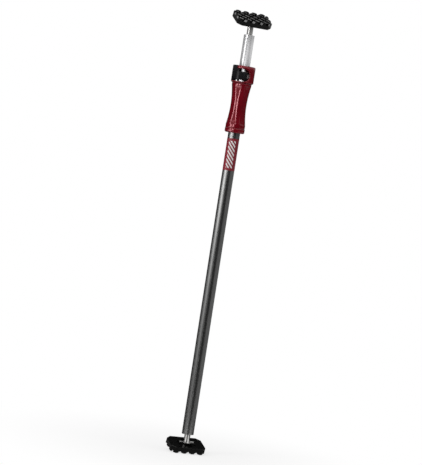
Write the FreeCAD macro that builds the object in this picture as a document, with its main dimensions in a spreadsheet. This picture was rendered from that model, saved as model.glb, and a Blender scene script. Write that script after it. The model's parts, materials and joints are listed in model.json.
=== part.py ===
import FreeCAD, Part
import os
import re
import Sketcher

# Driving sizes of the prop, millimetres and degrees
sizes = {
    # Swivel pads
    "pad_width": 92.0,
    "pad_depth": 63.0,
    "pad_thickness": 10.5,
    "pad_corner": 11.0,
    "pad_edge_round": 1.6,
    "pad_sink": 0.5,
    "foot_tilt": 16.5,
    "head_tilt": 25.5,
    "pad_heading": 21.0,
    "stud_height": 5.0,
    "stud_pitch": 21.5,
    "stud_gap": 2.0,
    "stud_tip": 15.0,
    "slot_width": 20.0,
    "slot_length": 44.0,
    "slot_clearance": 0.7,
    "cradle_depth": 18.0,
    "cradle_lip": 2.6,
    "cradle_wall": 3.0,
    "cradle_round": 1.0,
    # Stems and their cross pins
    "stem_radius": 7.5,
    "pin_radius": 5.0,
    "pin_length": 38.0,
    "pin_running_gap": 0.08,
    "pin_end_gap": 0.4,
    "pin_chamfer": 1.0,
    "foot_stem_reach": 22.0,
    "head_stem_reach": 31.0,
    "plug_length": 25.0,
    "plug_pin_radius": 2.5,
    "plug_pin_depth": 12.0,
    # Tubes
    "outer_radius": 15.0,
    "outer_wall": 1.0,
    "outer_length": 862.0,
    "tube_gap": 0.6,
    "inner_wall": 1.2,
    "inner_length": 905.0,
    "inner_exposed": 78.0,
    "slide_clearance": 0.25,
    "turn_clearance": 0.3,
    "slide_ring_height": 6.0,
    "slide_ring_spigot": 12.0,
    "slide_ring_wall": 2.0,
    "slide_room": 14.3,
    "stop_ring_height": 8.0,
    "stop_ring_rise": 145.0,
    "label_gap": 14.5,
    "label_height": 80.0,
    "label_thickness": 0.12,
    # Screw adjustment
    "sleeve_inset": 7.5,
    "sleeve_wall": 2.0,
    "bush_length": 8.0,
    "tube_head_gap": 10.3,
    "nut_wall": 3.3,
    "nut_height": 18.0,
    "thread_clearance": 0.3,
    "bore_clearance": 0.5,
    # Grip
    "grip_length": 125.0,
    "grip_end_radius": 24.3,
    "grip_waist_radius": 19.9,
    "grip_top_radius": 24.6,
    "grip_lower_band": 21.5,
    "grip_upper_band": 7.5,
    "flat_waist_depth": 0.1,
    "flat_end_depth": 1.3,
    "flat_count": 6,
    "flat_heading": -19.0,
    "end_ring_radius": 24.9,
    "end_ring_height": 11.0,
    "end_ring_round": 4.0,
    # Thrust collar between grip and lock head
    "head_gap": 0.3,
    "flange_thickness": 3.0,
    "hub_length": 9.5,
    "hub_wall": 4.2,
    "hub_bore_gap": 0.8,
    "rib_thickness": 5.5,
    "rib_clearance": 0.3,
    "snap_ring_thickness": 1.5,
    "snap_ring_width": 2.8,
    "snap_groove_depth": 1.2,
    "snap_clearance": 0.5,
    "snap_room": 0.8,
    "snap_room_height": 6.0,
    # Lock head
    "head_height": 42.5,
    "head_wall": 4.0,
    "top_wall": 6.5,
    "head_top_round": 2.5,
    "head_bottom_round": 3.0,
    "top_bush_wall": 2.0,
    "flange_inset": 3.2,
    "window_end": 10.5,
    "window_top_margin": 1.0,
    # Release button
    "button_heading": -75.0,
    "button_travel": 4.0,
    "button_clearance": 0.3,
    "button_rise": 7.5,
    "thumb_half_width": 17.0,
    "thumb_wall": 3.3,
    "thumb_round": 1.0,
    "arm_height": 20.2,
    "arm_wall": 4.5,
    "arm_side_gap": 2.0,
    "arm_reach": 4.6,
    "ramp_width": 16.0,
    "ramp_slope": 0.95,
    "tongue_width": 10.0,
    "tongue_clearance": 0.4,
    "guide_pin_radius": 1.5,
    "guide_pin_offset": 21.0,
    "guide_pin_gap": 0.25,
    "tongue_wall": 1.2,
    # Lock plates
    "plate_thickness": 3.0,
    "plate_spacing": 0.4,
    "plate_radius": 20.5,
    "plate_side_wall": 2.9,
    "plate_tilt": 6.0,
    "plate_bore_gap": 0.9,
    "fulcrum_offset": 18.0,
    "fulcrum_width": 14.0,
    "fulcrum_depth": 4.5,
    "fulcrum_height": 10.6,
    "fulcrum_round": 1.5,
    "spring_radius": 2.2,
    "spring_wire": 0.9,
    "spring_turns": 5,
    "spring_offset": 17.3,
}

# Sizes and levels that follow from them, each height measured from the lowest stud tip
derived = {
    "inner_radius": "outer_radius - outer_wall - tube_gap",
    "sole_depth": "pad_sink + pad_thickness + stud_height",
    "stud_reach": "min(1.25 * stud_pitch + stud_tip / 2; pad_depth / 2)",
    "slot_depth": "stem_radius + slot_clearance",
    "foot_pivot": "sole_depth * cos(foot_tilt) + stud_reach * sin(foot_tilt)",
    "tube_foot": "foot_pivot + foot_stem_reach",
    "tube_top": "tube_foot + outer_length",
    "head_bottom": "tube_top + bush_length + tube_head_gap + hub_length",
    "head_top": "head_bottom + head_height",
    "grip_top": "head_bottom - head_gap",
    "grip_bottom": "grip_top - grip_length",
    "label_bottom": "grip_bottom - label_gap - label_height",
    "sleeve_radius": "outer_radius + sleeve_wall",
    "sleeve_bottom": "grip_bottom + sleeve_inset",
    "sleeve_length": "tube_top + bush_length - sleeve_bottom",
    "deepest_bottom": "tube_foot + plug_length + slide_room + slide_ring_height",
    "inner_top": "max(head_top + inner_exposed; deepest_bottom + inner_length)",
    "inner_bottom": "inner_top - inner_length",
    "head_pivot": "inner_top + head_stem_reach",
    "nut_bore": "sleeve_radius + thread_clearance",
    "nut_radius": "nut_bore + nut_wall",
    "grip_bore": "sleeve_radius + bore_clearance",
    "grip_arc_span": "(grip_length - grip_upper_band - grip_lower_band) / 2",
    "grip_arc_depth": "grip_end_radius - grip_waist_radius",
    "grip_arc_radius": "(grip_arc_span ^ 2 + grip_arc_depth ^ 2) / (2 * grip_arc_depth)",
    "flat_end": "grip_end_radius - flat_end_depth",
    "flat_arc_depth": "flat_end - grip_waist_radius + flat_waist_depth",
    "flat_arc_radius": "(grip_arc_span ^ 2 + flat_arc_depth ^ 2) / (2 * flat_arc_depth)",
    "guide_bore": "inner_radius + slide_clearance",
    "slide_ring_radius": "outer_radius - outer_wall - slide_clearance",
    "spigot_radius": "inner_radius - inner_wall - turn_clearance",
    "top_bush_radius": "guide_bore + top_bush_wall",
    "hub_bore": "inner_radius + hub_bore_gap",
    "hub_radius": "hub_bore + hub_wall",
    "snap_inner": "hub_radius - snap_groove_depth",
    "snap_outer": "snap_inner + snap_ring_width",
    "rib_level": "grip_length - rib_thickness",
    "snap_level": "rib_level - snap_clearance - snap_ring_thickness",
    "plate_bore": "inner_radius + plate_bore_gap",
    "plate_half_width": "plate_bore + plate_side_wall",
    "arm_inner": "plate_half_width + button_clearance + turn_clearance",
    "arm_outer": "arm_inner + arm_wall",
    "cavity_radius": "arm_outer + arm_side_gap",
    "head_radius": "cavity_radius + head_wall",
    "flange_radius": "head_radius - flange_inset",
    "cavity_top": "head_height - top_wall",
    "window_radius": "(cavity_top - window_top_margin - flange_thickness) / 2",
    "window_middle": "flange_thickness + window_radius",
    "thumb_inner": "head_radius - thumb_wall",
    "plate_level": "flange_thickness + fulcrum_height + turn_clearance",
    "plate_pitch": "plate_thickness + plate_spacing",
    "plate_stack": "2 * plate_pitch + plate_thickness",
    "plate_edge_reach": "(fulcrum_offset + plate_radius) * cos(plate_tilt) - fulcrum_offset",
    "ramp_level": "plate_level - (fulcrum_offset + plate_radius) * sin(plate_tilt) - button_clearance",
    "ramp_toe": "plate_edge_reach - (ramp_level - button_rise) / ramp_slope",
    "ramp_back": "thumb_inner + button_clearance",
    "ramp_top": "ramp_level + (ramp_back - plate_edge_reach) * ramp_slope",
    "notch_radius": "thumb_inner - button_clearance",
    "notch_half_width": "thumb_half_width + button_clearance",
    "notch_shift": "button_travel + button_clearance",
    "tongue_inner": "guide_pin_offset - guide_pin_radius - guide_pin_gap - tongue_wall",
    "tongue_height": "button_rise - flange_thickness - tongue_clearance",
    "spring_drop": "(fulcrum_offset + spring_offset) * tan(plate_tilt)",
    "spring_bottom": "plate_level + plate_stack - spring_drop + 2 * turn_clearance",
}

doc = FreeCAD.newDocument("telescopic_prop")
owner = {}


def cells(rule, home=""):
    # A rule in plain words becomes a formula on the sheets' cells
    def place(word):
        sheet = owner.get(word.group(), "")
        return word.group() if sheet in ("", home) else sheet + "." + word.group()
    return re.sub(r"[a-z][a-z_]+", place, rule)


def fill_sheet(name, entries, prefix):
    sheet = doc.addObject("Spreadsheet::Sheet", name)
    for row, (alias, entry) in enumerate(entries.items(), start=1):
        sheet.set("A%d" % row, alias)
        sheet.set("B%d" % row, prefix + cells(str(entry), name))
        sheet.setAlias("B%d" % row, alias)
        owner[alias] = name
    doc.recompute()
    return sheet


fill_sheet("Sizes", sizes, "")
place_sheet = fill_sheet("Places", derived, "=")


def value(rule):
    return float(place_sheet.evalExpression(cells(rule)))


def new_body(name, height="0", yaw="0", roll="0", along="0"):
    # A body stands at a height on the prop's axis, or along its own turned Y axis from it
    body = doc.addObject("PartDesign::Body", name)
    base = "vector(-(%s) * sin(%s); (%s) * cos(%s); %s)" % (along, yaw, along, yaw, height)
    body.setExpression("Placement", cells("placement(%s; rotation(%s; 0; %s))" % (base, yaw, roll)))
    return body


def new_sketch(body, name, role, lift="0"):
    plane = [item for item in body.Origin.OriginFeatures if item.Role == role][0]
    sketch = body.newObject("Sketcher::SketchObject", name)
    sketch.AttachmentSupport = [(plane, "")]
    sketch.MapMode = "FlatFace"
    sketch.setExpression("AttachmentOffset.Base.z", cells(lift))
    return sketch


def bind(sketch, kind, geometry, rule):
    index = sketch.addConstraint(Sketcher.Constraint(kind, *geometry, value(rule)))
    name = "size%d" % index
    sketch.renameConstraint(index, name)
    sketch.setExpression("Constraints." + name, cells(rule))


def arc_between(start, end, radius, side):
    # The short arc that bulges to the left of its chord for side 1 and to the right for side -1
    chord = end - start
    left = FreeCAD.Vector(-chord.y, chord.x, 0).normalize()
    rise = radius - max(radius ** 2 - chord.Length ** 2 / 4, 0) ** 0.5
    middle = (start + end) / 2 + left * side * rise
    return Part.Arc(end, middle, start) if side > 0 else Part.Arc(start, middle, end)


def draw_loop(sketch, corners):
    # Each corner is (x, y) or (x, y, radius, side), where the latter starts an arc to the next corner
    first = sketch.GeometryCount
    points = [FreeCAD.Vector(value(corner[0]), value(corner[1]), 0) for corner in corners]
    ends = []
    for index, corner in enumerate(corners):
        start = points[index]
        end = points[(index + 1) % len(points)]
        if len(corner) > 2:
            edge = sketch.addGeometry(arc_between(start, end, value(corner[2]), corner[3]))
        else:
            edge = sketch.addGeometry(Part.LineSegment(start, end))
        drawn = sketch.Geometry[edge]
        swapped = (drawn.StartPoint - start).Length > (drawn.EndPoint - start).Length
        ends.append((2, 1) if swapped else (1, 2))
    for index, corner in enumerate(corners):
        following = (index + 1) % len(corners)
        edge = first + index
        joined = (edge, ends[index][1], first + following, ends[following][0])
        sketch.addConstraint(Sketcher.Constraint("Coincident", *joined))
        bind(sketch, "DistanceX", (-1, 1, edge, ends[index][0]), corner[0])
        bind(sketch, "DistanceY", (-1, 1, edge, ends[index][0]), corner[1])
        if len(corner) > 2:
            bind(sketch, "Radius", (edge,), corner[2])


def outline(body, name, role, corners, lift="0"):
    sketch = new_sketch(body, name, role, lift)
    draw_loop(sketch, corners)
    return sketch


def circle(body, name, role, x, y, radius, lift="0"):
    sketch = new_sketch(body, name, role, lift)
    centre = FreeCAD.Vector(value(x), value(y), 0)
    sketch.addGeometry(Part.Circle(centre, FreeCAD.Vector(0, 0, 1), value(radius)))
    bind(sketch, "DistanceX", (-1, 1, 0, 3), x)
    bind(sketch, "DistanceY", (-1, 1, 0, 3), y)
    bind(sketch, "Radius", (0,), radius)
    return sketch


def revolve(body, profile, name="turned", kind="PartDesign::Revolution"):
    feature = body.newObject(kind, name)
    feature.Profile = profile
    feature.ReferenceAxis = (profile, ["V_Axis"])
    feature.Angle = 360
    return feature


def extrude(body, profile, length, name, kind="PartDesign::Pad", symmetric=False, reverse=False):
    feature = body.newObject(kind, name)
    feature.Profile = profile
    feature.setExpression("Length", cells(length))
    feature.SideType = "Symmetric" if symmetric else "One side"
    feature.Reversed = reverse
    doc.recompute([body])
    return feature


def cut(body, profile, length, name, symmetric=False, reverse=False):
    before = body.Shape.Volume
    feature = extrude(body, profile, length, name, "PartDesign::Pocket", symmetric, reverse)
    if body.Shape.Volume > before - 0.01:
        raise ValueError(name + " cuts nothing")
    return feature


def round_edges(body, feature, name, radius, chosen):
    # Rounds every edge of a feature that the chosen test accepts
    names = ["Edge%d" % (index + 1) for index, edge in enumerate(feature.Shape.Edges) if chosen(edge)]
    if not names:
        raise ValueError(name + " finds no edge")
    fillet = body.newObject("PartDesign::Fillet", name)
    fillet.Base = (feature, names)
    fillet.setExpression("Radius", cells(radius))
    doc.recompute([body])
    return fillet


def ring(name, inner, outer, low, high, height="0"):
    # A plain turned ring with square ends
    body = new_body(name, height)
    corners = [(inner, low), (outer, low), (outer, high), (inner, high)]
    revolve(body, outline(body, name + "_profile", "XZ_Plane", corners))
    return body


def cross_bar(name, height, radius, half_length, yaw):
    # A round bar that lies across the prop along the pads' hinge direction, with chamfered ends
    body = new_body(name, height, yaw)
    profile = circle(body, name + "_section", "YZ_Plane", "0", "0", radius)
    bar = extrude(body, profile, "2 * (%s)" % half_length, "bar", symmetric=True)
    chamfer = body.newObject("PartDesign::Chamfer", "ends")
    rims = ["Edge%d" % (i + 1) for i, edge in enumerate(bar.Shape.Edges) if edge.isClosed()]
    chamfer.Base = (bar, rims)
    chamfer.setExpression("Size", cells("pin_chamfer * (%s) / pin_radius" % radius))
    return body


def bored_tube(name, inner, outer, length, height, pin_level):
    # A turned tube or plug with a hole across it for the pin that holds a stem
    body = new_body(name, height, "pad_heading")
    corners = [(inner, "0"), (outer, "0"), (outer, length), (inner, length)]
    revolve(body, outline(body, name + "_profile", "XZ_Plane", corners))
    doc.recompute([body])
    hole = circle(body, name + "_hole", "YZ_Plane", "0", pin_level, "plug_pin_radius")
    cut(body, hole, "4 * outer_radius", "pin_hole", symmetric=True)
    return body


def stem(name, height, reach, down):
    # A round stem with a domed eye at the pivot, turned over for the head end
    body = new_body(name, height, "pad_heading", "180" if down else "0")
    length = "%s + plug_length" % reach
    corners = [
        ("0", "-stem_radius", "stem_radius", -1),
        ("stem_radius", "0"),
        ("stem_radius", length),
        ("0", length),
    ]
    revolve(body, outline(body, name + "_profile", "XZ_Plane", corners))
    doc.recompute([body])
    eye = circle(body, name + "_eye", "YZ_Plane", "0", "0", "pin_radius")
    cut(body, eye, "4 * stem_radius", "eye", symmetric=True)
    level = "%s + plug_pin_depth" % reach
    hole = circle(body, name + "_pin_hole", "YZ_Plane", "0", level, "plug_pin_radius")
    cut(body, hole, "4 * stem_radius", "pin_hole", symmetric=True)
    return body


def diamond(body, name, x, y, half, lift):
    corners = [
        (x, "%s - %s" % (y, half)),
        ("%s + %s" % (x, half), y),
        (x, "%s + %s" % (y, half)),
        ("%s - %s" % (x, half), y),
    ]
    return outline(body, name, "XY_Plane", corners, lift)


def stud(body, name, x, y):
    # One tapered stud, a square pyramid with a flat tip that stands corner on to the pad
    base = diamond(body, name + "_base", x, y, "(stud_pitch - stud_gap) / 2", "-pad_sink - pad_thickness")
    tip = diamond(body, name + "_tip", x, y, "stud_tip / 2", "-sole_depth")
    loft = body.newObject("PartDesign::AdditiveLoft", name)
    loft.Profile = base
    loft.Sections = [tip]
    loft.Ruled = True
    doc.recompute([body])
    return loft


def axis_of(body, role):
    return [item for item in body.Origin.OriginFeatures if item.Role == role][0]


def box_corners(half_x, half_y):
    return [
        ("-" + half_x, "-" + half_y),
        (half_x, "-" + half_y),
        (half_x, half_y),
        ("-" + half_x, half_y),
    ]


def rectangle(body, name, half_x, half_y, lift):
    return outline(body, name, "XY_Plane", box_corners(half_x, half_y), lift)


def stud_rows(body, name, x, y, columns, rows):
    # Rows of studs, a pitch apart both ways
    first = stud(body, name, x, y)
    pattern = body.newObject("PartDesign::LinearPattern", name + "_rows")
    pattern.Originals = [first]
    pattern.Mode = "Spacing"
    pattern.Direction = (axis_of(body, "X_Axis"), [""])
    pattern.Occurrences = columns
    pattern.setExpression("Offset", cells("stud_pitch"))
    pattern.Mode2 = "Spacing"
    pattern.Direction2 = (axis_of(body, "Y_Axis"), [""])
    pattern.Occurrences2 = rows
    pattern.setExpression("Offset2", cells("stud_pitch"))
    pattern.Spacings2 = [-1.0] * (rows - 1)
    body.Tip = pattern
    doc.recompute([body])


def swivel_pad(name, height, roll):
    # Pivot at the local origin, hinge along X, sole with the studs below
    body = new_body(name, height, "pad_heading", roll)
    side = "pad_width / 2"
    front = "pad_depth / 2"
    corners = []
    for x, y, first in ((1, -1, False), (1, 1, True), (-1, 1, False), (-1, -1, True)):
        along_x = ("%d * (%s - pad_corner)" % (x, side), "%d * %s" % (y, front))
        along_y = ("%d * %s" % (x, side), "%d * (%s - pad_corner)" % (y, front))
        corners += [along_y, along_x] if first else [along_x, along_y]
    profile = outline(body, name + "_outline", "XY_Plane", corners, "-pad_sink - pad_thickness")
    plate = extrude(body, profile, "pad_thickness", "plate")
    back = -value("pad_sink")
    round_edges(body, plate, "plate_round", "pad_edge_round", lambda edge: edge.BoundBox.ZMax > back - 0.01)
    cradle_side = "(pin_length / 2 + pin_end_gap + cradle_wall)"
    block = rectangle(body, name + "_cradle", cradle_side, "(cradle_depth / 2)", "-pad_sink")
    cradle = extrude(body, block, "pad_sink + cradle_lip", "cradle")
    lip = value("cradle_lip")
    round_edges(body, cradle, "cradle_edges", "cradle_round", lambda edge: edge.BoundBox.ZMin > lip - 0.01)
    stud_rows(body, "even_stud", "-1.5 * stud_pitch", "-1.25 * stud_pitch", 4, 3)
    stud_rows(body, "odd_stud", "-2 * stud_pitch", "-0.75 * stud_pitch", 5, 3)
    trim = outline(body, name + "_trim", "XY_Plane", corners, "-pad_sink - pad_thickness")
    draw_loop(trim, box_corners("pad_width", "pad_depth"))
    cut(body, trim, "stud_height", "trim")
    slot = rectangle(body, name + "_slot", "(slot_width / 2)", "(slot_length / 2)", "cradle_lip")
    cut(body, slot, "cradle_lip + slot_depth", "slot")
    trough = circle(body, name + "_trough", "YZ_Plane", "0", "0", "pin_radius + pin_running_gap")
    cut(body, trough, "pin_length + 2 * pin_end_gap", "trough", symmetric=True)
    return body


def grip():
    # Hourglass grip with shallow flats, the nut pocket below and the rib for the snap ring above
    body = new_body("grip", "grip_bottom", "flat_heading")
    arc_top = "grip_length - grip_upper_band"
    pocket_top = "end_ring_height + nut_height"
    room_top = "rib_level"
    room_bottom = "snap_level - snap_room_height"
    room = "snap_outer + snap_room"
    rib = "hub_radius + rib_clearance"
    corners = [
        ("nut_radius", "end_ring_height"),
        ("grip_end_radius", "end_ring_height"),
        ("grip_end_radius", "grip_lower_band", "grip_arc_radius", 1),
        ("grip_end_radius", arc_top),
        ("grip_top_radius", "grip_length"),
        (rib, "grip_length"),
        (rib, room_top),
        (room, room_top),
        (room, room_bottom),
        ("grip_bore", room_bottom),
        ("grip_bore", pocket_top),
        ("nut_radius", pocket_top),
    ]
    revolve(body, outline(body, "grip_profile", "XZ_Plane", corners))
    doc.recompute([body])
    beyond = "-2 * grip_end_radius"
    shave = [
        (beyond, "grip_lower_band"),
        ("-flat_end", "grip_lower_band", "flat_arc_radius", -1),
        ("-flat_end", arc_top),
        (beyond, arc_top),
    ]
    profile = outline(body, "flat_profile", "YZ_Plane", shave)
    flat = cut(body, profile, "2 * grip_end_radius", "flat", symmetric=True)
    pattern = body.newObject("PartDesign::PolarPattern", "flats")
    pattern.Originals = [flat]
    pattern.Axis = (axis_of(body, "Z_Axis"), [""])
    pattern.Angle = 360
    pattern.setExpression("Occurrences", cells("flat_count"))
    body.Tip = pattern
    return body


def grip_end_ring():
    # Collar that closes the lower end of the grip under the nut
    body = new_body("grip_end_ring", "grip_bottom")
    corners = [
        ("nut_bore", "0"),
        ("end_ring_radius - end_ring_round", "0", "end_ring_round", -1),
        ("end_ring_radius", "end_ring_round"),
        ("end_ring_radius", "end_ring_height"),
        ("nut_bore", "end_ring_height"),
    ]
    revolve(body, outline(body, "end_ring_profile", "XZ_Plane", corners))
    return body


def thrust_collar():
    # Flange under the lock head with a hub that reaches down into the grip and carries the snap ring
    body = new_body("thrust_collar", "head_bottom", "button_heading")
    groove_bottom = "snap_level - grip_length - head_gap"
    groove_top = groove_bottom + " + snap_ring_thickness"
    corners = [
        ("hub_bore", "-hub_length"),
        ("hub_radius", "-hub_length"),
        ("hub_radius", groove_bottom),
        ("snap_inner", groove_bottom),
        ("snap_inner", groove_top),
        ("hub_radius", groove_top),
        ("hub_radius", "0"),
        ("flange_radius", "0"),
        ("flange_radius", "flange_thickness"),
        ("hub_bore", "flange_thickness"),
    ]
    revolve(body, outline(body, "collar_profile", "XZ_Plane", corners))
    doc.recompute([body])
    place = ("0", "-guide_pin_offset", "guide_pin_radius", "flange_thickness")
    hole = circle(body, "guide_pin_hole", "XY_Plane", *place)
    cut(body, hole, "flange_thickness", "pin_hole")
    return body


def head_housing():
    # Cup-shaped housing, open towards the button through a round-ended window and a notch in its top
    body = new_body("head_housing", "head_bottom", "button_heading")
    corners = [
        ("flange_radius", "0"),
        ("head_radius - head_bottom_round", "0", "head_bottom_round", -1),
        ("head_radius", "head_bottom_round"),
        ("head_radius", "head_height - head_top_round", "head_top_round", -1),
        ("head_radius - head_top_round", "head_height"),
        ("top_bush_radius", "head_height"),
        ("top_bush_radius", "cavity_top"),
        ("cavity_radius", "cavity_top"),
        ("cavity_radius", "flange_thickness"),
        ("flange_radius", "flange_thickness"),
    ]
    revolve(body, outline(body, "housing_profile", "XZ_Plane", corners))
    doc.recompute([body])
    beyond = "-2 * head_radius"
    window = [
        (beyond, "window_middle - window_radius"),
        ("window_end - window_radius", "window_middle - window_radius", "window_radius", -1),
        ("window_end", "window_middle", "window_radius", -1),
        ("window_end - window_radius", "window_middle + window_radius"),
        (beyond, "window_middle + window_radius"),
    ]
    profile = outline(body, "window_profile", "YZ_Plane", window)
    cut(body, profile, "4 * head_radius", "window", symmetric=True)
    shoulder = "notch_shift - sqrt(notch_radius ^ 2 - notch_half_width ^ 2)"
    notch = [
        ("notch_half_width", beyond),
        ("notch_half_width", shoulder, "notch_radius", 1),
        ("-notch_half_width", shoulder),
        ("-notch_half_width", beyond),
    ]
    profile = outline(body, "notch_profile", "XY_Plane", notch, "head_height")
    cut(body, profile, "top_wall + window_top_margin", "notch")
    return body


def release_button():
    # Thumb plate flush with the head, two arms around the tube, a ramp under the plates and a guide tongue
    body = new_body("release_button", "head_bottom", "button_heading")
    arm_root = "-sqrt(head_radius ^ 2 - arm_outer ^ 2)"
    inner_root = "-sqrt(thumb_inner ^ 2 - arm_inner ^ 2)"
    fork = [
        ("arm_outer", "arm_reach"),
        ("arm_outer", arm_root, "head_radius", 1),
        ("-arm_outer", arm_root),
        ("-arm_outer", "arm_reach"),
        ("-arm_inner", "arm_reach"),
        ("-arm_inner", inner_root, "thumb_inner", -1),
        ("arm_inner", inner_root),
        ("arm_inner", "arm_reach"),
    ]
    extrude(body, outline(body, "fork_outline", "XY_Plane", fork, "button_rise"), "arm_height", "fork")
    thumb_front = "-sqrt(head_radius ^ 2 - thumb_half_width ^ 2)"
    thumb_back = "-sqrt(thumb_inner ^ 2 - thumb_half_width ^ 2)"
    thumb = [
        ("thumb_half_width", thumb_front, "head_radius", 1),
        ("-thumb_half_width", thumb_front),
        ("-thumb_half_width", thumb_back, "thumb_inner", -1),
        ("thumb_half_width", thumb_back),
    ]
    profile = outline(body, "thumb_outline", "XY_Plane", thumb, "button_rise")
    plate = extrude(body, profile, "head_height - button_rise", "thumb")
    top = value("head_height")
    front = value(thumb_front)
    rim = lambda edge: edge.BoundBox.ZMin > top - 0.01 and edge.BoundBox.YMax < front + 0.01
    round_edges(body, plate, "thumb_rim", "thumb_round", rim)
    ramp = [
        ("-ramp_back", "button_rise"),
        ("-ramp_toe", "button_rise"),
        ("-ramp_back", "ramp_top"),
    ]
    extrude(body, outline(body, "ramp_profile", "YZ_Plane", ramp), "ramp_width", "ramp", symmetric=True)
    tongue_front = "-sqrt(head_radius ^ 2 - tongue_width ^ 2 / 4)"
    tongue = [
        ("-tongue_width / 2", tongue_front),
        ("tongue_width / 2", tongue_front),
        ("tongue_width / 2", "-tongue_inner"),
        ("-tongue_width / 2", "-tongue_inner"),
    ]
    profile = outline(body, "tongue_outline", "XY_Plane", tongue, "button_rise")
    extrude(body, profile, "tongue_height", "tongue", reverse=True)
    slot_side = "guide_pin_radius + guide_pin_gap"
    slot_front = "-(guide_pin_offset + button_travel + %s)" % slot_side
    slot_back = "-(guide_pin_offset - (%s))" % slot_side
    slot = [
        ("-(%s)" % slot_side, slot_front),
        (slot_side, slot_front),
        (slot_side, slot_back),
        ("-(%s)" % slot_side, slot_back),
    ]
    cut(body, outline(body, "guide_slot", "XY_Plane", slot, "button_rise"), "tongue_height", "guide_slot")
    return body


def lock_plate(name, index):
    # One canting plate, hung from the fulcrum edge at the local origin
    body = new_body(name, "head_bottom + plate_level", "button_heading", "plate_tilt", "fulcrum_offset")
    lift = "%d * plate_pitch" % index
    centre = "-fulcrum_offset + (%s + plate_thickness / 2) * sin(plate_tilt / 2)" % lift
    side = "sqrt(plate_radius ^ 2 - plate_half_width ^ 2)"
    corners = [
        ("plate_half_width", "%s - %s" % (centre, side)),
        ("plate_half_width", "%s + %s" % (centre, side), "plate_radius", -1),
        ("-plate_half_width", "%s + %s" % (centre, side)),
        ("-plate_half_width", "%s - %s" % (centre, side), "plate_radius", -1),
    ]
    extrude(body, outline(body, name + "_outline", "XY_Plane", corners, lift), "plate_thickness", "plate")
    top = "%s + plate_thickness" % lift
    bore = circle(body, name + "_bore", "XY_Plane", "0", centre, "plate_bore", top)
    cut(body, bore, "plate_thickness", "bore")
    return body


def fulcrum_block():
    floor = "head_bottom + flange_thickness"
    body = new_body("fulcrum_block", floor, "button_heading", along="fulcrum_offset")
    block = rectangle(body, "fulcrum_outline", "(fulcrum_width / 2)", "(fulcrum_depth / 2)", "0")
    pad = extrude(body, block, "fulcrum_height", "block")
    top = value("fulcrum_height")
    round_edges(body, pad, "block_top", "fulcrum_round", lambda edge: edge.BoundBox.ZMin > top - 0.01)
    return body


def lock_spring():
    # Coil spring that presses the free edge of the plates down
    start = "head_bottom + spring_bottom + spring_wire / 2"
    body = new_body("lock_spring", start, "button_heading", along="-spring_offset")
    wire = circle(body, "spring_section", "XZ_Plane", "spring_radius", "0", "spring_wire / 2")
    coil = body.newObject("PartDesign::AdditiveHelix", "coil")
    coil.Profile = wire
    coil.ReferenceAxis = (wire, ["V_Axis"])
    coil.Mode = "height-turns-angle"
    coil.setExpression("Height", cells("cavity_top - spring_bottom - spring_wire - slide_clearance"))
    coil.setExpression("Turns", cells("spring_turns"))
    doc.recompute([body])
    return body


def guide_pin():
    body = new_body("button_guide_pin", "head_bottom", "button_heading")
    section = circle(body, "guide_pin_section", "XY_Plane", "0", "-guide_pin_offset", "guide_pin_radius")
    extrude(body, section, "button_rise - tongue_clearance", "pin")
    return body


def slide_ring():
    # Plastic ring on the lower end of the inner tube, whose spigot turns inside the tube
    body = new_body("slide_ring", "inner_bottom")
    bore = "spigot_radius - slide_ring_wall"
    corners = [
        (bore, "-slide_ring_height"),
        ("slide_ring_radius", "-slide_ring_height"),
        ("slide_ring_radius", "-turn_clearance"),
        ("spigot_radius", "-turn_clearance"),
        ("spigot_radius", "slide_ring_spigot"),
        (bore, "slide_ring_spigot"),
    ]
    revolve(body, outline(body, "slide_ring_profile", "XZ_Plane", corners))
    return body


# Foot end and outer tube
swivel_pad("foot_pad", "foot_pivot", "foot_tilt")
stem("foot_stem", "foot_pivot", "foot_stem_reach", False)
cross_bar("foot_cross_pin", "foot_pivot", "pin_radius", "pin_length / 2", "pad_heading")
outer_bore = "outer_radius - outer_wall"
bored_tube("foot_plug", "stem_radius", outer_bore, "plug_length", "tube_foot", "plug_pin_depth")
foot_pin_half = "outer_radius - turn_clearance"
cross_bar("foot_plug_pin", "tube_foot + plug_pin_depth", "plug_pin_radius", foot_pin_half, "pad_heading")
bored_tube("outer_tube", outer_bore, "outer_radius", "outer_length", "tube_foot", "plug_pin_depth")
label_radius = "outer_radius + label_thickness"
ring("tube_label", "outer_radius", label_radius, "0", "label_height", "label_bottom")
ring("thread_sleeve", "outer_radius", "sleeve_radius", "0", "sleeve_length", "sleeve_bottom")
ring("tube_guide_bush", "guide_bore", "outer_radius", "0", "bush_length", "tube_top")

# Grip
grip()
grip_end_ring()
nut_top = "end_ring_height + nut_height"
ring("thread_nut", "nut_bore", "nut_radius", "end_ring_height", nut_top, "grip_bottom")

# Lock head
thrust_collar()
snap_top = "snap_level + snap_ring_thickness"
ring("grip_snap_ring", "snap_inner", "snap_outer", "snap_level", snap_top, "grip_bottom")
head_housing()
ring("top_guide_bush", "guide_bore", "top_bush_radius", "cavity_top", "head_height", "head_bottom")
fulcrum_block()
lock_spring()
guide_pin()
release_button()
for index, name in enumerate(("lock_plate_lower", "lock_plate_middle", "lock_plate_upper")):
    lock_plate(name, index)

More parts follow.
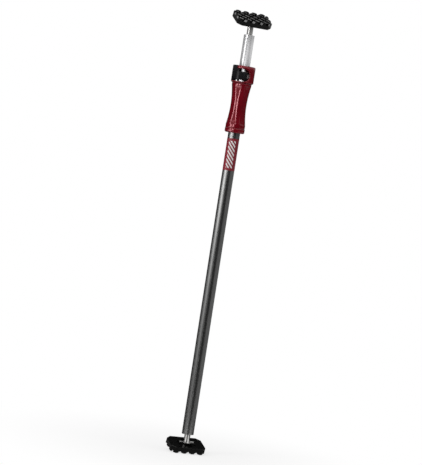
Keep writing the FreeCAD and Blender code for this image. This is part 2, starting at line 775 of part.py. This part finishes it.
# Inner tube and head end
inner_bore = "inner_radius - inner_wall"
inner_pin = "inner_length - plug_pin_depth"
bored_tube("inner_tube", inner_bore, "inner_radius", "inner_length", "inner_bottom", inner_pin)
slide_ring()
stop_level = "inner_bottom + stop_ring_rise"
ring("stop_ring", "inner_radius", "slide_ring_radius", "0", "stop_ring_height", stop_level)
plug_level = "inner_top - plug_length"
plug_pin = "plug_length - plug_pin_depth"
bored_tube("head_plug", "stem_radius", inner_bore, "plug_length", plug_level, plug_pin)
head_pin_half = "inner_radius - turn_clearance"
cross_bar("head_plug_pin", "inner_top - plug_pin_depth", "plug_pin_radius", head_pin_half, "pad_heading")
stem("head_stem", "head_pivot", "head_stem_reach", True)
cross_bar("head_cross_pin", "head_pivot", "pin_radius", "pin_length / 2", "pad_heading")
swivel_pad("head_pad", "head_pivot", "180 + head_tilt")

doc.recompute()
for item in doc.Objects:
    if "Invalid" in item.State or "Error" in item.State:
        raise ValueError("%s is %s" % (item.Name, item.State))
os.makedirs("parts", exist_ok=True)
for body in doc.findObjects("PartDesign::Body"):
    if body.Shape.isNull() or not body.Shape.isValid():
        raise ValueError(body.Label + " has no valid shape")
    body.Shape.exportStep("parts/%s.step" % body.Label)
    print("%s: %d solid, %.0f mm3" % (body.Label, len(body.Shape.Solids), body.Shape.Volume))
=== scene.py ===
import json
import math
import bmesh
import bpy
from mathutils import Matrix, Vector


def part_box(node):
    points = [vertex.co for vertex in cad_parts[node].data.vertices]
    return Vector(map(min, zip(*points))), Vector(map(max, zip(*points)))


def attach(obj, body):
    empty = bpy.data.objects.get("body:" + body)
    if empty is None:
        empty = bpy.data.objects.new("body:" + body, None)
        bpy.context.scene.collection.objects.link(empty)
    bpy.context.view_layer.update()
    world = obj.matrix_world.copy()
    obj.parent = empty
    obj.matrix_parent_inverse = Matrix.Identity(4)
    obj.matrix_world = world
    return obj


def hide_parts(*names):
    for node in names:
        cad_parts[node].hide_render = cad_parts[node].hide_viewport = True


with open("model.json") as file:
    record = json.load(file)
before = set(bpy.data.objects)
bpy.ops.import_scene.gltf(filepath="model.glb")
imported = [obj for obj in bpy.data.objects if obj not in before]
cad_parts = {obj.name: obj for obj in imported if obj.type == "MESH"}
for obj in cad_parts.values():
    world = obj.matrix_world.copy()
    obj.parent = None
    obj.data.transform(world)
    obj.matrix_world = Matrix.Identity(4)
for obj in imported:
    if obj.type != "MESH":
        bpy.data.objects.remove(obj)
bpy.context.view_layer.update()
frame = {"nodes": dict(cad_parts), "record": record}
nodes = frame["nodes"]
scene = bpy.context.scene
scene.view_settings.view_transform = "Standard"
print("frame loaded,", len(nodes), "nodes")


# Camera, rolled so that the prop leans as it does in the photograph
photoView = {
    "lean": 8.787,           # degrees to the right
    "elevation": 2.4,        # degrees above the horizon
    "lens": 148.5,
    "sensor": 36.0,
    "spanHigh": 1.1634,      # metres across the picture's height
    "middleUp": 0.5097,      # picture's middle, metres above the foot of the tube
    "middleAside": -0.0193,  # and metres beside its axis
}


def placeCamera(view):
    data = bpy.data.cameras.new("photoCamera")
    data.lens = view["lens"]
    data.sensor_width = view["sensor"]
    camera = bpy.data.objects.new("photoCamera", data)
    scene.collection.objects.link(camera)
    lean = math.radians(view["lean"])
    tilt = math.radians(view["elevation"])
    upright = Vector((0, math.sin(tilt), math.cos(tilt)))
    across = Vector((1, 0, 0))
    right = across * math.cos(lean) + upright * math.sin(lean)
    up = upright * math.cos(lean) - across * math.sin(lean)
    back = right.cross(up)
    distance = view["spanHigh"] * view["lens"] / view["sensor"]
    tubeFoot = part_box("outer_tube")[0].z
    spot = Vector((view["middleAside"], 0, tubeFoot + view["middleUp"])) + back * distance
    turn = Matrix((right, up, back)).transposed().to_4x4()
    camera.matrix_world = Matrix.Translation(spot) @ turn
    scene.camera = camera


placeCamera(photoView)
print("camera placed")


# Studio: pale floor, white surround, soft boxes for the colours, and cards that only reflections see
studio = {
    "floorHalf": 9.0,
    "floorTint": (0.9, 0.9, 0.9, 1),
    "floorRough": 0.9,
    "floorDrop": 0.0004,       # keeps the floor just clear of the lowest stud
    "shadowNear": 0.7,         # share of plain white in the floor beside the foot
    "shadowReach": 0.6,        # metres to where the floor is all white
    "surround": 0.5,           # strength of the surround as a light
}
# Soft boxes: degrees round from the front, metres, watts, and the height on the prop that each looks at
softBoxes = {
    "keyBox": {
        "azimuth": -52, "distance": 1.7, "height": 1.3, "wide": 0.5, "tall": 1.1, "watts": 12.0, "aim": 0.85,
    },
    "fillBox": {
        "azimuth": 80, "distance": 2.0, "height": 0.9, "wide": 0.7, "tall": 1.4, "watts": 6.0, "aim": 0.7,
    },
    "topBox": {
        "azimuth": -15, "distance": 0.9, "height": 2.3, "wide": 0.9, "tall": 0.9, "watts": 9.0, "aim": 0.9,
    },
}
# Shares of a card's brightness from one edge to the other
evenly = [(0.0, 1.0), (1.0, 1.0)]
softSides = [(0.0, 0.0), (0.25, 1.0), (0.75, 1.0), (1.0, 0.0)]
gripReach = [(0.0, 0.05), (0.15, 1.0), (0.74, 1.0), (0.82, 0.15)]
# Place, size and brightness of each card. Where low and high are the same, it lies flat and has a depth.
cards = {
    "keyCard": {          # line of light on both tubes, dim at the grip's height
        "azimuth": -54, "distance": 0.45, "wide": 0.62, "low": 0.0, "high": 1.15, "level": 6.2,
        "across": [(0.0, 0.0), (0.5, 1.0), (1.0, 0.0)],
        "upward": [(0.0, 0.1), (0.06, 0.11), (0.18, 0.15), (0.3, 0.21), (0.42, 0.32), (0.54, 0.62),
                   (0.66, 0.85), (0.697, 1.3), (0.701, 0.1), (0.86, 0.1), (0.88, 0.42), (0.92, 0.42),
                   (0.94, 0.03)],
    },
    "gripLeftStrip": {    # left one of the grip's two lines
        "azimuth": -53, "distance": 0.42, "wide": 0.1, "low": 0.815, "high": 0.99, "level": 11.0,
        "across": softSides, "upward": gripReach,
    },
    "gripRightStrip": {   # and the right one
        "azimuth": -25, "distance": 0.42, "wide": 0.11, "low": 0.815, "high": 0.99, "level": 10.5,
        "across": softSides, "upward": gripReach,
    },
    "thumbCard": {        # sheen on the button's thumb
        "azimuth": -40, "distance": 0.25, "wide": 0.266, "low": 0.93, "high": 0.972, "level": 1.2,
        "across": [(0.0, 0.0), (0.2, 1.0), (0.8, 1.0), (1.0, 0.0)],
    },
    "openingCard": {      # light on the steel in the head's opening
        "azimuth": -12, "distance": 0.28, "wide": 0.2, "low": 0.945, "high": 0.985, "level": 2.5,
        "across": softSides,
    },
    "gapCard": {          # dark left side of grip and head
        "azimuth": -89, "distance": 0.42, "wide": 0.257, "low": 0.805, "high": 0.99, "level": 0.02,
    },
    "chamferCard": {      # lies flat, keeps the strips out of the head pad's chamfer
        "azimuth": -53, "distance": 0.2, "wide": 0.24, "deep": 0.2, "low": 0.99, "high": 0.99, "level": 0.02,
    },
    "studCard": {         # dashes on the head pad's studs
        "azimuth": -42, "distance": 0.2, "wide": 0.1, "low": 1.09, "high": 1.125, "level": 15.0,
        "upward": [(0.0, 1.0), (1.0, 0.3)],
    },
    "frontCard": {        # dark middle of tube and grip
        "azimuth": 14, "distance": 0.3, "wide": 0.32, "low": 0.0, "high": 0.985, "level": 0.02,
    },
    "stemCard": {         # grey front of the head stem
        "azimuth": 5, "distance": 0.3, "wide": 1.0, "low": 1.062, "high": 1.13, "level": 0.14,
    },
    "rightCard": {        # grey right side of the tube, bright one of the chrome
        "azimuth": 90, "distance": 0.45, "wide": 1.07, "low": 0.0, "high": 1.2, "level": 0.95,
        "upward": [(0.0, 0.41), (0.666, 0.41), (0.671, 0.045), (0.825, 0.045), (0.84, 1.0), (0.895, 1.0),
                   (0.905, 0.25)],
    },
    "leftCard": {         # dark left side of the tube, bright one of the chrome
        "azimuth": -118, "distance": 0.45, "wide": 0.37, "low": 0.0, "high": 1.2, "level": 0.47,
        "upward": [(0.0, 0.12), (0.666, 0.12), (0.671, 0.03), (0.825, 0.03), (0.84, 1.0), (0.895, 1.0),
                   (0.905, 0.3)],
    },
    "behindCard": {       # dark outlines of tube and grip
        "azimuth": 180, "distance": 0.45, "wide": 0.8, "low": 0.0, "high": 1.2, "level": 0.5,
        "upward": [(0.0, 0.06), (0.825, 0.06), (0.84, 1.0)],
    },
    "floorCard": {        # lies flat, two bright bands for the foot stem
        "azimuth": 0, "distance": 0.1, "wide": 1.2, "deep": 1.0, "low": 0.001, "high": 0.001, "level": 1.8,
        "across": [(0.0, 0.06), (0.31, 0.06), (0.335, 1.0), (0.415, 1.0), (0.435, 0.13), (0.565, 0.13),
                   (0.585, 1.0), (0.665, 1.0), (0.69, 0.06)],
        "upward": [(0.0, 1.0), (0.58, 1.0), (0.62, 0.08)],
    },
    "backCard": {         # dark far side for faces that look up
        "azimuth": 180, "distance": 2.6, "wide": 7.0, "low": 1.25, "high": 6.5, "level": 0.04,
    },
}


def around(azimuth, distance, height):
    turn = math.radians(azimuth)
    return Vector((math.sin(turn) * distance, -math.cos(turn) * distance, height))


def whiteShare(tree):
    # Rays that see the white surround: the camera's own, mirrored and refracted ones
    path = tree.nodes.new("ShaderNodeLightPath")
    first = tree.nodes.new("ShaderNodeMath")
    first.operation = "MAXIMUM"
    second = tree.nodes.new("ShaderNodeMath")
    second.operation = "MAXIMUM"
    tree.links.new(path.outputs["Is Camera Ray"], first.inputs[0])
    tree.links.new(path.outputs["Is Glossy Ray"], first.inputs[1])
    tree.links.new(first.outputs[0], second.inputs[0])
    tree.links.new(path.outputs["Is Transmission Ray"], second.inputs[1])
    return second.outputs[0]


def lightSurround():
    world = bpy.data.worlds.new("surround")
    scene.world = world
    world.use_nodes = True
    tree = world.node_tree
    soft = tree.nodes["Background"]
    soft.inputs["Strength"].default_value = studio["surround"]
    soft.inputs["Color"].default_value = (1, 1, 1, 1)
    white = tree.nodes.new("ShaderNodeBackground")
    white.inputs["Color"].default_value = (1, 1, 1, 1)
    mix = tree.nodes.new("ShaderNodeMixShader")
    tree.links.new(whiteShare(tree), mix.inputs["Fac"])
    tree.links.new(soft.outputs[0], mix.inputs[1])
    tree.links.new(white.outputs[0], mix.inputs[2])
    tree.links.new(mix.outputs[0], tree.nodes["World Output"].inputs["Surface"])


def layFloor():
    mesh = bpy.data.meshes.new("floor")
    bm = bmesh.new()
    bmesh.ops.create_grid(bm, x_segments=2, y_segments=2, size=studio["floorHalf"])
    bmesh.ops.translate(bm, verts=bm.verts, vec=(0, 0, -studio["floorDrop"]))
    bm.to_mesh(mesh)
    bm.free()
    floor = bpy.data.objects.new("floor", mesh)
    scene.collection.objects.link(floor)
    mat = bpy.data.materials.new("floorPaper")
    mat.use_nodes = True
    tree = mat.node_tree
    paper = tree.nodes["Principled BSDF"]
    paper.inputs["Base Color"].default_value = studio["floorTint"]
    paper.inputs["Roughness"].default_value = studio["floorRough"]
    paper.inputs["Specular IOR Level"].default_value = 0.0
    glow = tree.nodes.new("ShaderNodeEmission")
    place = tree.nodes.new("ShaderNodeTexCoord")
    far = tree.nodes.new("ShaderNodeVectorMath")
    far.operation = "LENGTH"
    reach = tree.nodes.new("ShaderNodeMapRange")
    reach.interpolation_type = "SMOOTHSTEP"
    reach.inputs["From Max"].default_value = studio["shadowReach"]
    reach.inputs["To Min"].default_value = studio["shadowNear"]
    share = tree.nodes.new("ShaderNodeMath")
    share.operation = "MULTIPLY"
    mix = tree.nodes.new("ShaderNodeMixShader")
    tree.links.new(place.outputs["Object"], far.inputs[0])
    tree.links.new(far.outputs["Value"], reach.inputs["Value"])
    tree.links.new(reach.outputs[0], share.inputs[0])
    tree.links.new(whiteShare(tree), share.inputs[1])
    tree.links.new(share.outputs[0], mix.inputs["Fac"])
    tree.links.new(paper.outputs[0], mix.inputs[1])
    tree.links.new(glow.outputs[0], mix.inputs[2])
    tree.links.new(mix.outputs[0], tree.nodes["Material Output"].inputs["Surface"])
    mesh.materials.append(mat)


def hangBoxes():
    for name, soft in softBoxes.items():
        data = bpy.data.lights.new(name, "AREA")
        data.shape = "RECTANGLE"
        data.size = soft["wide"]
        data.size_y = soft["tall"]
        data.energy = soft["watts"]
        box = bpy.data.objects.new(name, data)
        scene.collection.objects.link(box)
        box.location = around(soft["azimuth"], soft["distance"], soft["height"])
        aim = Vector((0, 0, soft["aim"])) - box.location
        box.rotation_euler = aim.to_track_quat("-Z", "Y").to_euler()
        box.visible_glossy = False


def shadeRamp(tree, source, stops):
    ramp = tree.nodes.new("ShaderNodeValToRGB")
    ramp.color_ramp.interpolation = "EASE"
    marks = ramp.color_ramp.elements
    for index, (place, share) in enumerate(stops):
        if index > 1:
            marks.new(place)
        marks[index].position = place
        marks[index].color = (share, share, share, 1)
    tree.links.new(source, ramp.inputs["Fac"])
    return ramp.outputs["Color"]


def cardGlow(name, card):
    mat = bpy.data.materials.new(name)
    mat.use_nodes = True
    tree = mat.node_tree
    place = tree.nodes.new("ShaderNodeTexCoord")
    split = tree.nodes.new("ShaderNodeSeparateXYZ")
    tree.links.new(place.outputs["UV"], split.inputs[0])
    both = tree.nodes.new("ShaderNodeVectorMath")
    both.operation = "MULTIPLY"
    tree.links.new(shadeRamp(tree, split.outputs["X"], card.get("across", evenly)), both.inputs[0])
    tree.links.new(shadeRamp(tree, split.outputs["Y"], card.get("upward", evenly)), both.inputs[1])
    glow = tree.nodes.new("ShaderNodeEmission")
    glow.inputs["Strength"].default_value = card["level"]
    tree.links.new(both.outputs[0], glow.inputs["Color"])
    tree.links.new(glow.outputs[0], tree.nodes["Material Output"].inputs["Surface"])
    return mat


def standCards():
    for name, card in cards.items():
        mesh = bpy.data.meshes.new(name)
        bm = bmesh.new()
        bm.loops.layers.uv.new("cardMap")
        bmesh.ops.create_grid(bm, x_segments=1, y_segments=1, size=0.5, calc_uvs=True)
        tall = card["high"] - card["low"]
        bmesh.ops.scale(bm, verts=bm.verts, vec=(card["wide"], card.get("deep", tall), 1))
        upright = Matrix.Rotation(math.radians(90 if tall else 0), 4, "X")
        facing = Matrix.Rotation(math.radians(card["azimuth"]), 4, "Z")
        spot = around(card["azimuth"], card["distance"], card["low"] + tall / 2)
        bmesh.ops.transform(bm, verts=bm.verts, matrix=Matrix.Translation(spot) @ facing @ upright)
        bm.to_mesh(mesh)
        bm.free()
        stand = bpy.data.objects.new(name, mesh)
        scene.collection.objects.link(stand)
        mesh.materials.append(cardGlow(name, card))
        stand.visible_camera = False
        stand.visible_diffuse = False
        stand.visible_transmission = False
        stand.visible_volume_scatter = False
        stand.visible_shadow = False


lightSurround()
layFloor()
hangBoxes()
standCards()
print("studio lit,", len(cards), "cards")


# Finishes
glossDetail = 6.0
reliefDetail = 3.0
edgeSamples = 16   # rays that feel for a soft edge


def startFinish(name, settings):
    mat = bpy.data.materials.new(name)
    mat.use_nodes = True
    shader = mat.node_tree.nodes["Principled BSDF"]
    for socket, amount in settings.items():
        shader.inputs[socket].default_value = amount
    return mat, mat.node_tree, shader


def grain(tree, scale, stretch=(1, 1, 1), detail=4.0):
    place = tree.nodes.new("ShaderNodeTexCoord")
    mapping = tree.nodes.new("ShaderNodeMapping")
    mapping.inputs["Scale"].default_value = stretch
    noise = tree.nodes.new("ShaderNodeTexNoise")
    noise.inputs["Scale"].default_value = scale
    noise.inputs["Detail"].default_value = detail
    tree.links.new(place.outputs["Object"], mapping.inputs["Vector"])
    tree.links.new(mapping.outputs["Vector"], noise.inputs["Vector"])
    return noise.outputs["Fac"]


def spread(tree, source, low, high, fromLow=0.3, fromHigh=0.7):
    # Most of a noise lies between 0.3 and 0.7, and that part is spread from low to high
    scaled = tree.nodes.new("ShaderNodeMapRange")
    scaled.inputs["From Min"].default_value = fromLow
    scaled.inputs["From Max"].default_value = fromHigh
    scaled.inputs["To Min"].default_value = low
    scaled.inputs["To Max"].default_value = high
    tree.links.new(source, scaled.inputs["Value"])
    return scaled.outputs["Result"]


def blendTints(tree, share, first, second):
    mix = tree.nodes.new("ShaderNodeMix")
    mix.data_type = "RGBA"
    tree.links.new(share, mix.inputs["Factor"])
    for socket, tint in (("A", first), ("B", second)):
        target = [entry for entry in mix.inputs if entry.name == socket and entry.type == "RGBA"][0]
        if isinstance(tint, bpy.types.NodeSocket):
            tree.links.new(tint, target)
        else:
            target.default_value = tint
    return [entry for entry in mix.outputs if entry.type == "RGBA"][0]


def raiseBump(tree, shader, source, height, strength=1.0, edgeRound=0.0):
    bump = tree.nodes.new("ShaderNodeBump")
    if edgeRound:
        softEdge = tree.nodes.new("ShaderNodeBevel")
        softEdge.samples = edgeSamples
        softEdge.inputs["Radius"].default_value = edgeRound
        tree.links.new(softEdge.outputs["Normal"], bump.inputs["Normal"])
    bump.inputs["Strength"].default_value = strength
    bump.inputs["Distance"].default_value = height
    tree.links.new(source, bump.inputs["Height"])
    tree.links.new(bump.outputs["Normal"], shader.inputs["Normal"])


def grainedTint(tree, look):
    patches = grain(tree, look["patchScale"], look["stretch"])
    return blendTints(tree, spread(tree, patches, 0, 1), look["dark"], look["light"])


def grainedFinish(name, look):
    # Two close tints, an uneven gloss and a fine relief, all on the piece's own coordinates
    mat, tree, shader = startFinish(name, look["settings"])
    tree.links.new(grainedTint(tree, look), shader.inputs["Base Color"])
    gloss = grain(tree, look["glossScale"], look["stretch"], glossDetail)
    tree.links.new(spread(tree, gloss, *look["rough"]), shader.inputs["Roughness"])
    relief = grain(tree, look["reliefScale"], look["stretch"], reliefDetail)
    raiseBump(tree, shader, relief, look["reliefHeight"], look["reliefStrength"], look.get("edgeRound", 0.0))
    return mat


redNylonLook = {
    "dark": (0.120, 0.002, 0.006, 1), "light": (0.150, 0.003, 0.009, 1), "stretch": (1, 1, 1),
    "patchScale": 35.0, "glossScale": 120.0, "rough": (0.07, 0.1),
    "reliefScale": 260.0, "reliefHeight": 0.0002, "reliefStrength": 0.03, "edgeRound": 0.005,
    "settings": {"Specular IOR Level": 1.0, "Specular Tint": (1.0, 0.46, 0.5, 1)},
}
greyPaintLook = {
    "dark": (0.185, 0.186, 0.184, 1), "light": (0.215, 0.216, 0.214, 1), "stretch": (1, 1, 0.25),
    "patchScale": 60.0, "glossScale": 200.0, "rough": (0.26, 0.34),
    "reliefScale": 420.0, "reliefHeight": 0.0002, "reliefStrength": 0.05,
    "settings": {"Metallic": 0.95},
}
chromeLook = {
    "dark": (0.66, 0.66, 0.67, 1), "light": (0.72, 0.72, 0.73, 1), "stretch": (1, 1, 0.01),
    "patchScale": 300.0, "glossScale": 500.0, "rough": (0.20, 0.27),
    "reliefScale": 500.0, "reliefHeight": 0.00005, "reliefStrength": 0.03,
    "settings": {"Metallic": 1.0},
}
zincSteelLook = {
    "dark": (0.45, 0.445, 0.44, 1), "light": (0.55, 0.545, 0.53, 1), "stretch": (1, 1, 6),
    "patchScale": 220.0, "glossScale": 300.0, "rough": (0.17, 0.26),
    "reliefScale": 600.0, "reliefHeight": 0.0001, "reliefStrength": 0.1,
    "settings": {"Metallic": 1.0},
}
plainSteelLook = {
    "dark": (0.34, 0.34, 0.34, 1), "light": (0.46, 0.45, 0.44, 1), "stretch": (1, 1, 5),
    "patchScale": 160.0, "glossScale": 260.0, "rough": (0.28, 0.45),
    "reliefScale": 500.0, "reliefHeight": 0.0001, "reliefStrength": 0.15,
    "settings": {"Metallic": 1.0},
}
brassLook = {
    "dark": (0.60, 0.40, 0.14, 1), "light": (0.74, 0.54, 0.22, 1), "stretch": (1, 1, 6),
    "patchScale": 160.0, "glossScale": 260.0, "rough": (0.22, 0.38),
    "reliefScale": 500.0, "reliefHeight": 0.0001, "reliefStrength": 0.12,
    "settings": {"Metallic": 1.0},
}
blackPvcLook = {
    "dark": (0.002, 0.002, 0.002, 1), "light": (0.004, 0.004, 0.004, 1), "stretch": (1, 1, 1),
    "patchScale": 70.0, "glossScale": 180.0, "rough": (0.14, 0.24),
    "reliefScale": 900.0, "reliefHeight": 0.0002, "reliefStrength": 0.06,
    "settings": {"Specular IOR Level": 0.25},
}
blackNylonLook = {
    "dark": (0.004, 0.004, 0.005, 1), "light": (0.007, 0.007, 0.008, 1), "stretch": (1, 1, 1),
    "patchScale": 90.0, "glossScale": 200.0, "rough": (0.14, 0.26),
    "reliefScale": 1300.0, "reliefHeight": 0.0002, "reliefStrength": 0.08,
    "settings": {"Specular IOR Level": 0.35},
}
whiteNylonLook = {
    "dark": (0.66, 0.65, 0.60, 1), "light": (0.76, 0.75, 0.71, 1), "stretch": (1, 1, 1),
    "patchScale": 80.0, "glossScale": 160.0, "rough": (0.38, 0.52),
    "reliefScale": 900.0, "reliefHeight": 0.0002, "reliefStrength": 0.1,
    "settings": {"Subsurface Weight": 0.15, "Subsurface Radius": (0.004, 0.004, 0.003)},
}
finishes = {
    "red_plastic": grainedFinish("redNylon", redNylonLook),
    "grey_paint": grainedFinish("greyPaint", greyPaintLook),
    "chrome": grainedFinish("chrome", chromeLook),
    "zinc_steel": grainedFinish("zincSteel", zincSteelLook),
    "plain_steel": grainedFinish("plainSteel", plainSteelLook),
    "brass_nut": grainedFinish("brass", brassLook),
    "black_pvc": grainedFinish("blackPvc", blackPvcLook),
    "black_plastic": grainedFinish("blackNylon", blackNylonLook),
    "white_nylon": grainedFinish("whiteNylon", whiteNylonLook),
}


# Label film, slanted white stripes on the grip's red
labelFilm = {
    "dark": (0.170, 0.005, 0.014, 1), "light": (0.200, 0.007, 0.019, 1), "stretch": (1, 1, 1),
    "patchScale": 30.0, "rough": (0.42, 0.5), "glossScale": 150.0,
    "ink": (0.60, 0.59, 0.58, 1),
    "inkHeight": 0.00003, "inkRelief": 0.3,
    "settings": {"Specular IOR Level": 0.35},
    "pitch": 0.0106,             # metres up the tube from stripe to stripe
    "start": 0.2,                # part of the pitch below the first stripe
    "share": 0.5,                # white part of the pitch
    "slant": 1.2,                # metres down for each metre to the right
    "fromLeft": -0.0100, "toRight": 0.0080,   # metres of arc from the front
    "endMargin": 0.006,
    "soft": 0.0002,              # width of the printed edge
}


def mathStep(tree, operation, first, second):
    step = tree.nodes.new("ShaderNodeMath")
    step.operation = operation
    for slot, entry in enumerate((first, second)):
        if isinstance(entry, bpy.types.NodeSocket):
            tree.links.new(entry, step.inputs[slot])
        else:
            step.inputs[slot].default_value = entry
    return step.outputs[0]


def insideBand(tree, source, low, high, soft):
    # One inside the band, none outside, with a narrow soft edge
    rise = spread(tree, source, 0, 1, low - soft, low + soft)
    fall = spread(tree, source, 1, 0, high - soft, high + soft)
    return mathStep(tree, "MULTIPLY", rise, fall)


def stripedFilm(look):
    low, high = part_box("tube_label")
    radius = (high.x - low.x) / 2
    mat, tree, shader = startFinish("labelFilm", look["settings"])
    place = tree.nodes.new("ShaderNodeTexCoord")
    split = tree.nodes.new("ShaderNodeSeparateXYZ")
    tree.links.new(place.outputs["Object"], split.inputs[0])
    front = mathStep(tree, "MULTIPLY", split.outputs["Y"], -1.0)
    arc = mathStep(tree, "MULTIPLY", mathStep(tree, "ARCTAN2", split.outputs["X"], front), radius)
    level = mathStep(tree, "SUBTRACT", split.outputs["Z"], low.z)
    slope = mathStep(tree, "ADD", level, mathStep(tree, "MULTIPLY", arc, look["slant"]))
    turns = mathStep(tree, "WRAP", slope, 0.0)
    turns.node.inputs[1].default_value = look["pitch"]
    turns.node.inputs[2].default_value = 0.0
    soft = look["soft"]
    stripeLow = look["pitch"] * look["start"]
    stripeHigh = look["pitch"] * (look["start"] + look["share"])
    stripe = insideBand(tree, turns, stripeLow, stripeHigh, soft)
    across = insideBand(tree, arc, look["fromLeft"], look["toRight"], soft)
    tall = high.z - low.z
    upward = insideBand(tree, level, look["endMargin"], tall - look["endMargin"], soft)
    printed = mathStep(tree, "MULTIPLY", stripe, across)
    ink = mathStep(tree, "MULTIPLY", printed, upward)
    tree.links.new(blendTints(tree, ink, grainedTint(tree, look), look["ink"]), shader.inputs["Base Color"])
    gloss = grain(tree, look["glossScale"], look["stretch"], glossDetail)
    tree.links.new(spread(tree, gloss, *look["rough"]), shader.inputs["Roughness"])
    raiseBump(tree, shader, ink, look["inkHeight"], look["inkRelief"])
    return mat


finishes["red_label"] = stripedFilm(labelFilm)
slotOf = {entry["node"]: entry["material_slot"] for entry in frame["record"]["subparts"]}
bodyOf = {node: body for body, members in frame["record"]["behaviour"]["bodies"].items() for node in members}
for name, slot in slotOf.items():
    nodes[name].material_slots[0].material = finishes[slot]
print("finishes made,", len(finishes))


# Moulded pieces, copies of the solids with the small edge radius that a mould leaves
mouldedEdges = {
    "foot_pad": 0.0006, "head_pad": 0.0006, "head_housing": 0.0005, "release_button": 0.0004, "grip": 0.0004,
    "grip_end_ring": 0.0004,
}
mould = {
    "corner": 24,        # degrees, a sharper corner is rounded
    "crease": 50,        # degrees, a sharper one shades as an edge
    "flat": 0.4,         # degrees, faces closer than this become one
    "merge": 0.000002,   # metres, points closer than this become one
}


def addPiece(name, bm, slot, body, replaced):
    mesh = bpy.data.meshes.new(name)
    bm.to_mesh(mesh)
    bm.free()
    mesh.materials.append(finishes[slot])
    piece = bpy.data.objects.new(name, mesh)
    scene.collection.objects.link(piece)
    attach(piece, body)
    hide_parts(replaced)
    return piece


def smoothFaces(bm, crease):
    for face in bm.faces:
        face.smooth = True
    for line in bm.edges:
        line.smooth = line.is_manifold and line.calc_face_angle(0) < math.radians(crease)


def softenEdges(node, edge):
    bm = bmesh.new()
    bm.from_mesh(nodes[node].data)
    bmesh.ops.remove_doubles(bm, verts=bm.verts, dist=mould["merge"])
    bmesh.ops.dissolve_limit(bm, angle_limit=math.radians(mould["flat"]), verts=bm.verts, edges=bm.edges)
    sharp = math.radians(mould["corner"])
    corners = [line for line in bm.edges if line.is_manifold and line.calc_face_angle(0) > sharp]
    bmesh.ops.bevel(bm, geom=corners, offset=edge, affect="EDGES", segments=2, profile=0.5, material=-1,
                    clamp_overlap=True)
    smoothFaces(bm, mould["crease"])
    piece = addPiece(node + "Moulded", bm, slotOf[node], bodyOf[node], node)
    even = piece.modifiers.new("evenShade", "WEIGHTED_NORMAL")
    even.keep_sharp = True


for name, edge in mouldedEdges.items():
    softenEdges(name, edge)
print("moulded pieces,", len(mouldedEdges))


# Adjusting sleeve, a square-topped thread with one turn to each lift of the grip
sleeveThread = {
    "lead": 0.006,
    "depth": 0.0011,
    "crest": 0.42,        # shares of the lead
    "flank": 0.11,
    "steps": 96,
    "spare": 2,           # turns past each end, trimmed off
    "crease": 25,         # degrees, a sharper corner shades as an edge
    "merge": 0.00002,     # metres, points closer than this become one
    "rimSlack": 0.00001,
}


def cutSleeve(look):
    low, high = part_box("thread_sleeve")
    crest = (high.x - low.x) / 2
    root = crest - look["depth"]
    lead = look["lead"]
    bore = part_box("outer_tube")[1].x
    bm = bmesh.new()
    flank = look["flank"] * lead
    top = look["crest"] * lead
    rest = lead - top - 2 * flank
    spare = look["spare"] * lead
    level = low.z - spare
    line = [bm.verts.new((root, 0, level))]
    while level < high.z + spare:
        for radius, step in ((root, rest), (crest, flank), (crest, top), (root, flank)):
            level += step
            line.append(bm.verts.new((radius, 0, level)))
    edges = [bm.edges.new(pair) for pair in zip(line, line[1:])]
    # One turn rises by one lead, so its end meets the next turn's start, and the two are merged
    lift = Vector((0, 0, lead / look["steps"]))
    bmesh.ops.spin(bm, geom=line + edges, cent=(0, 0, 0), axis=(0, 0, 1), dvec=lift,
                   angle=math.radians(360), steps=look["steps"])
    bmesh.ops.remove_doubles(bm, verts=bm.verts, dist=look["merge"])
    for height, side in ((low.z, -1), (high.z, 1)):   # trimmed to the sleeve's length
        everything = bm.verts[:] + bm.edges[:] + bm.faces[:]
        bmesh.ops.bisect_plane(bm, geom=everything, plane_co=(0, 0, height), plane_no=(0, 0, side),
                               clear_outer=True)
    for height in (low.z, high.z):
        rim = [line for line in bm.edges
               if line.is_boundary and abs(line.verts[0].co.z - height) < look["rimSlack"]]
        ring = bmesh.ops.create_circle(bm, segments=look["steps"], radius=bore,
                                       matrix=Matrix.Translation((0, 0, height)))["verts"]
        inner = list({line for vert in ring for line in vert.link_edges})
        bmesh.ops.bridge_loops(bm, edges=rim + inner)
    wall = [line for line in bm.edges if line.is_boundary]
    bmesh.ops.bridge_loops(bm, edges=wall)
    bmesh.ops.recalc_face_normals(bm, faces=bm.faces)
    smoothFaces(bm, look["crease"])
    addPiece("sleeveThread", bm, slotOf["thread_sleeve"], bodyOf["thread_sleeve"], "thread_sleeve")


cutSleeve(sleeveThread)
print("sleeve threaded")
